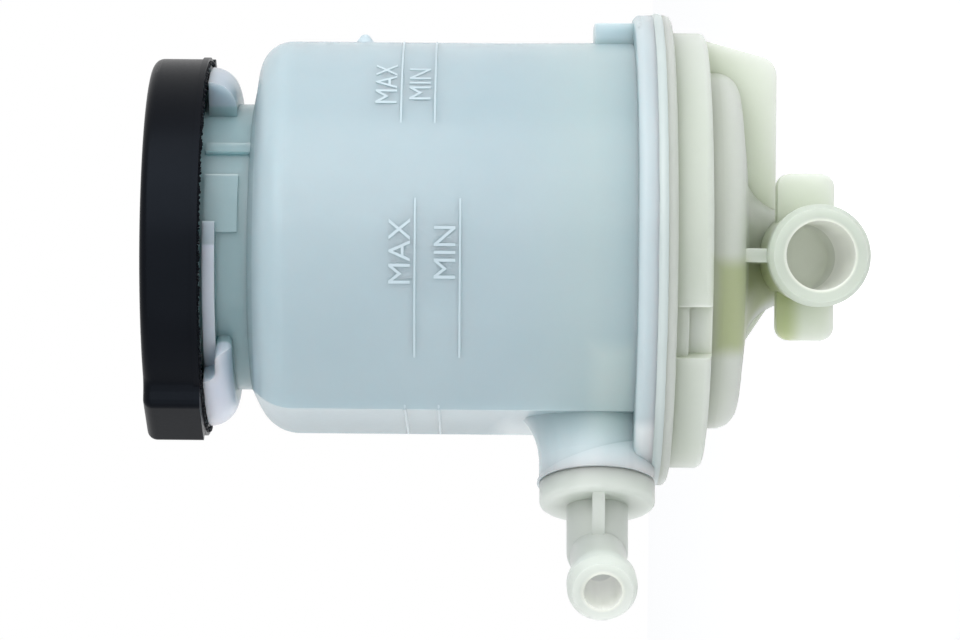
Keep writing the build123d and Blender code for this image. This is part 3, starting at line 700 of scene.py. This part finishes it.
def moulding_flash_tree(material):
    """Ragged rim of torn plastic: small flakes of random size set close together round a circle."""
    tree, start, end = geometry_tree(
        "moulding_flash", [("Radius", NUMBER), ("Height", NUMBER), ("Count", COUNT), ("Flake", NUMBER),
                           ("Seed", COUNT)])
    path = add_node(tree, "GeometryNodeCurvePrimitiveCircle", Resolution=FLASH_STEPS)
    join(tree, start.outputs["Radius"], path.inputs["Radius"])
    points = add_node(tree, "GeometryNodeCurveToPoints", mode="COUNT")
    join(tree, path.outputs["Curve"], points.inputs["Curve"])
    join(tree, start.outputs["Count"], points.inputs["Count"])
    lift = add_node(tree, "ShaderNodeCombineXYZ")
    join(tree, start.outputs["Height"], lift.inputs["Z"])
    place = add_node(tree, "GeometryNodeSetPosition")
    join(tree, points.outputs["Points"], place.inputs["Geometry"])
    join(tree, lift.outputs[0], place.inputs["Offset"])
    flake = add_node(tree, "GeometryNodeMeshIcoSphere", Subdivisions=2)
    join(tree, start.outputs["Flake"], flake.inputs["Radius"])
    size = add_node(tree, "FunctionNodeRandomValue", data_type="FLOAT_VECTOR")
    size.inputs[0].default_value = FLAKE_SMALLEST
    size.inputs[1].default_value = FLAKE_LARGEST
    turn = add_node(tree, "FunctionNodeRandomValue", data_type="FLOAT_VECTOR")
    turn.inputs[0].default_value = (-FLAKE_TILT, -FLAKE_TILT, 0.0)
    turn.inputs[1].default_value = (FLAKE_TILT, FLAKE_TILT, 2 * pi)
    for spread in (size, turn):
        join(tree, start.outputs["Seed"], spread.inputs["Seed"])
    spread_out = add_node(tree, "GeometryNodeInstanceOnPoints")
    join(tree, place.outputs["Geometry"], spread_out.inputs["Points"])
    join(tree, flake.outputs["Mesh"], spread_out.inputs["Instance"])
    join(tree, turn.outputs[0], spread_out.inputs["Rotation"])
    join(tree, size.outputs[0], spread_out.inputs["Scale"])
    finish_tree(tree, spread_out.outputs["Instances"], end, material)
    return tree


def make_weld_bead():
    """Soft bead that closes the joint between the two flanges."""
    flange_radius = (BASE_HIGH.x - BASE_LOW.x) / 2
    mesh = finished_mesh("weld_bead", weld_bead_tree(WELD_FINISH),
                         {"Radius": flange_radius - WELD_INSET, "Height": BASE_HIGH.z - WELD_DROP,
                          "Bead": WELD_BEAD, "Waviness": WELD_WAVINESS})
    add_piece("weld_bead", mesh, WELD_FINISH, "reservoir")


def make_cap_flash():
    """Torn flash round the cap's lower rim."""
    material = FINISHES["cap_shell"]
    mesh = finished_mesh("cap_flash", moulding_flash_tree(material),
                         {"Radius": FLASH_RADIUS, "Height": CAP_LOW.z - FLASH_DROP, "Count": FLASH_COUNT,
                          "Flake": FLAKE_RADIUS, "Seed": FLASH_SEED})
    add_piece("cap_flash", mesh, material, "cap")


make_level_marks()
make_gate_nub()
make_weld_bead()
make_cap_flash()


# Camera: in front of the ports, rolled so that the cap lies on the left of the picture
VIEW_DISTANCE = 780 * MM
VIEW_END = 20.0
PIXELS_PER_MM = 5.0
PICTURE_WIDTH = 960
SENSOR_WIDTH = 36.0
VIEW_X = -14.2 * MM
VIEW_Z = -16.25 * MM
VIEW_ROLL = 0.5

# Studio: pale floor, soft lamps and a white surround

FLOOR_DROP = 90 * MM
FLOOR_SIZE = 6.0
FLOOR_COLOUR = (0.9, 0.9, 0.9, 1)
FLOOR_ROUGHNESS = 0.9
FLOOR_GLOW_NEAR = 0.1
FLOOR_GLOW_FAR = 0.62
FLOOR_GLOW_START = 0.3
FLOOR_GLOW_END = 1.3
AMBIENT_COLOUR = (0.95, 0.97, 1.0, 1)
AMBIENT_STRENGTH = 0.4

# Each lamp: name, angle from the camera's side towards +X, distance, width, height, watts, seen in gloss
LAMPS = (
    ("key_softbox", 40, 1.0, 1.15, 1.7, 14.0, True),
    ("hot_strip", 41, 0.95, 0.04, 1.6, 0.5, True),
    ("front_softbox", -19, 1.25, 1.2, 1.7, 5.5, True),
    ("top_fill", 85, 1.1, 0.8, 1.5, 5.0, False),
    ("side_fill", -80, 1.1, 0.8, 1.5, 9.0, False),
    ("back_fill", 180, 1.1, 0.9, 1.2, 7.0, False),
)


def seen_white(tree):
    """Rays that see the white surround: the camera's own, and those by way of gloss or a clear piece."""
    rays = tree.nodes.new("ShaderNodeLightPath")
    seen = math_node(tree, "MAXIMUM", rays.outputs["Is Camera Ray"], rays.outputs["Is Glossy Ray"])
    return math_node(tree, "MAXIMUM", seen, rays.outputs["Is Transmission Ray"])


def floor_paper():
    """Pale paper that keeps the object's shadow, and glows to white only where the lamps fall off."""
    material, tree, shader = new_material("floor_paper")
    shader.inputs["Base Color"].default_value = FLOOR_COLOUR
    shader.inputs["Roughness"].default_value = FLOOR_ROUGHNESS
    shader.inputs["Specular IOR Level"].default_value = 0.0
    reach = add_node(tree, "ShaderNodeVectorMath", operation="LENGTH")
    join(tree, object_place(tree), reach.inputs[0])
    glow = add_node(tree, "ShaderNodeMapRange", interpolation_type="SMOOTHSTEP",
                    From_Min=FLOOR_GLOW_START, From_Max=FLOOR_GLOW_END,
                    To_Min=FLOOR_GLOW_NEAR, To_Max=FLOOR_GLOW_FAR)
    join(tree, reach.outputs["Value"], glow.inputs["Value"])
    white = tree.nodes.new("ShaderNodeEmission")
    join(tree, math_node(tree, "MULTIPLY", glow.outputs[0], seen_white(tree)), white.inputs["Strength"])
    total = tree.nodes.new("ShaderNodeAddShader")
    join(tree, shader.outputs[0], total.inputs[0])
    join(tree, white.outputs[0], total.inputs[1])
    output = next(node for node in tree.nodes if node.type == "OUTPUT_MATERIAL")
    join(tree, total.outputs[0], output.inputs["Surface"])
    return material


def make_floor():
    """Square floor below the part."""
    half = FLOOR_SIZE / 2
    level = cad_low.z - FLOOR_DROP
    corners = [(-half, -half, level), (half, -half, level), (half, half, level), (-half, half, level)]
    mesh = bpy.data.meshes.new("floor")
    mesh.from_pydata(corners, [], [(0, 1, 2, 3)])
    mesh.materials.append(floor_paper())
    floor = bpy.data.objects.new("floor", mesh)
    bpy.context.scene.collection.objects.link(floor)


def make_world():
    """Surround that is white to the eye and lights the part with a softer, cooler glow."""
    world = bpy.data.worlds.new("studio")
    bpy.context.scene.world = world
    world.use_nodes = True
    tree = world.node_tree
    tree.nodes.clear()
    ambient = add_node(tree, "ShaderNodeBackground", Color=AMBIENT_COLOUR, Strength=AMBIENT_STRENGTH)
    white = add_node(tree, "ShaderNodeBackground", Color=(1, 1, 1, 1), Strength=1.0)
    choose = tree.nodes.new("ShaderNodeMixShader")
    output = tree.nodes.new("ShaderNodeOutputWorld")
    join(tree, seen_white(tree), choose.inputs[0])
    join(tree, ambient.outputs[0], choose.inputs[1])
    join(tree, white.outputs[0], choose.inputs[2])
    join(tree, choose.outputs[0], output.inputs["Surface"])


def make_softbox(name, angle, distance, width, height, power, in_gloss):
    """Upright rectangular lamp that faces the middle of the part, level with it."""
    data = bpy.data.lights.new(name, "AREA")
    data.shape = "RECTANGLE"
    data.size = width
    data.size_y = height
    data.energy = power
    lamp = bpy.data.objects.new(name, data)
    bpy.context.scene.collection.objects.link(lamp)
    back = Vector((sin(radians(angle)), -cos(radians(angle)), 0))
    up = Vector((0, 0, 1))
    turn = Matrix((up.cross(back), up, back)).transposed().to_4x4()
    lamp.matrix_world = Matrix.Translation(MIDDLE + distance * back) @ turn
    lamp.visible_camera = False
    lamp.visible_glossy = in_gloss


def make_camera():
    """Camera at the photograph's viewing angle, at a set number of pixels to the millimetre."""
    data = bpy.data.cameras.new("camera")
    camera = bpy.data.objects.new("camera", data)
    bpy.context.scene.collection.objects.link(camera)
    focal_pixels = PIXELS_PER_MM * VIEW_DISTANCE / MM
    data.sensor_width = SENSOR_WIDTH
    data.lens = focal_pixels * SENSOR_WIDTH / PICTURE_WIDTH
    data.clip_end = VIEW_END
    roll = radians(VIEW_ROLL)
    right = Vector((sin(roll), 0, -cos(roll)))
    up = Vector((cos(roll), 0, sin(roll)))
    turn = Matrix((right, up, right.cross(up))).transposed().to_4x4()
    camera.matrix_world = Matrix.Translation((VIEW_X, -VIEW_DISTANCE, VIEW_Z)) @ turn
    bpy.context.scene.camera = camera


make_floor()
make_world()
for lamp_settings in LAMPS:
    make_softbox(*lamp_settings)
make_camera()
bpy.context.scene.view_settings.view_transform = "Standard"
